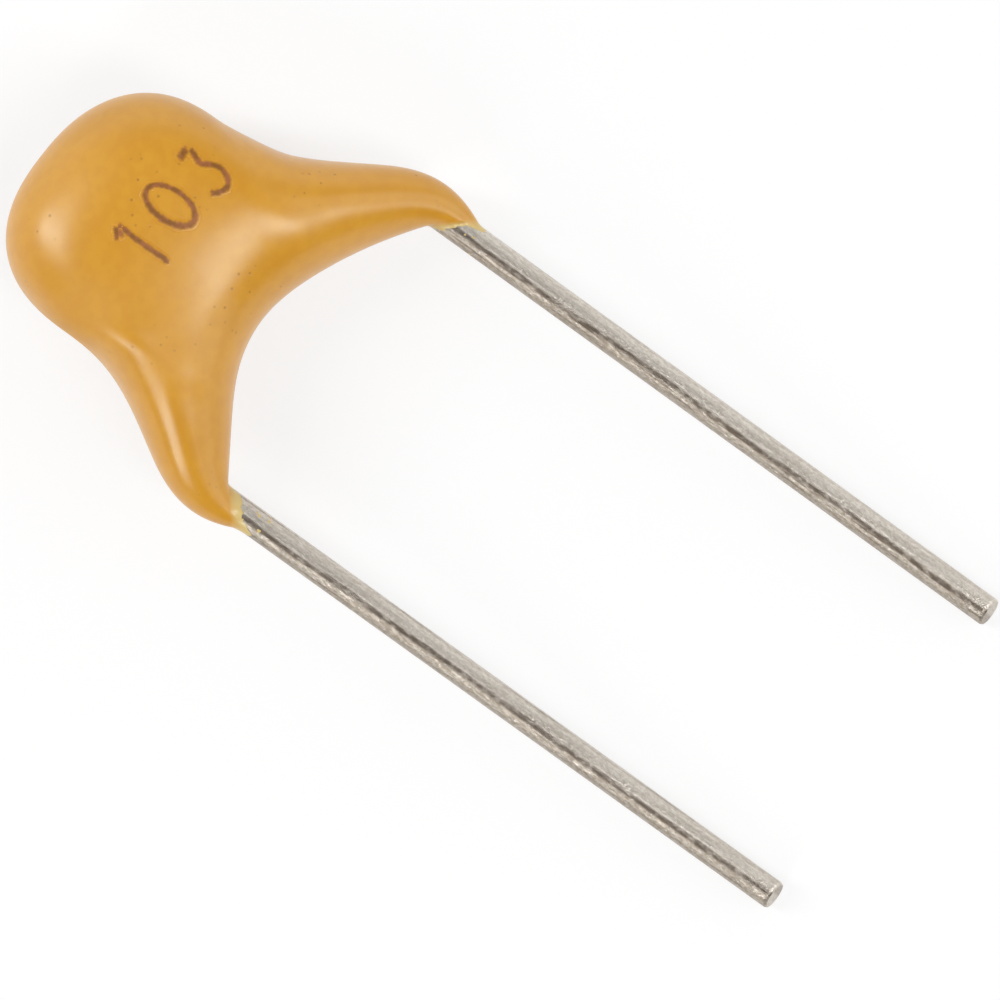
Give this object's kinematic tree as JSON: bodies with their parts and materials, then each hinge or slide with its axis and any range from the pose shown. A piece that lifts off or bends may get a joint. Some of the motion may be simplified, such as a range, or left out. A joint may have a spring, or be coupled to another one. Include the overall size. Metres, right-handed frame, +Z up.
{
  "type": "multilayer ceramic capacitor",
  "caption": "Small capacitor dipped in ochre epoxy: a pillow-shaped body whose two legs flare out and taper onto straight round wire leads.",
  "frame": {"origin": "on the surface that the part lies on, under the middle of its overall size", "axes": "+X from the left lead to the right one, +Y from the lead tips towards the top of the body, +Z up, out of the marked face"},
  "size_m": [0.0058, 0.0148, 0.0026],
  "materials": {
    "epoxy": "glossy dipped epoxy, ochre yellow",
    "ceramic": "fired ceramic, matt beige",
    "electrode_metal": "fired nickel, dull grey",
    "termination_metal": "fired and plated metal, satin",
    "solder": "solder, satin grey",
    "tinned_wire": "tinned wire, dull warm grey with drawing marks"
  },
  "bodies": {
    "root": {"epoxy_coating": "epoxy", "ceramic_chip": "ceramic", "left_end_termination": "termination_metal", "right_end_termination": "termination_metal", "left_solder_joint": "solder", "right_solder_joint": "solder", "left_lead_wire": "tinned_wire", "right_lead_wire": "tinned_wire", "electrode_01": "electrode_metal", "electrode_02": "electrode_metal", "electrode_03": "electrode_metal", "electrode_04": "electrode_metal", "electrode_05": "electrode_metal", "electrode_06": "electrode_metal", "electrode_07": "electrode_metal", "electrode_08": "electrode_metal", "electrode_09": "electrode_metal", "electrode_10": "electrode_metal", "electrode_11": "electrode_metal", "electrode_12": "electrode_metal"}
  },
  "joints": []
}
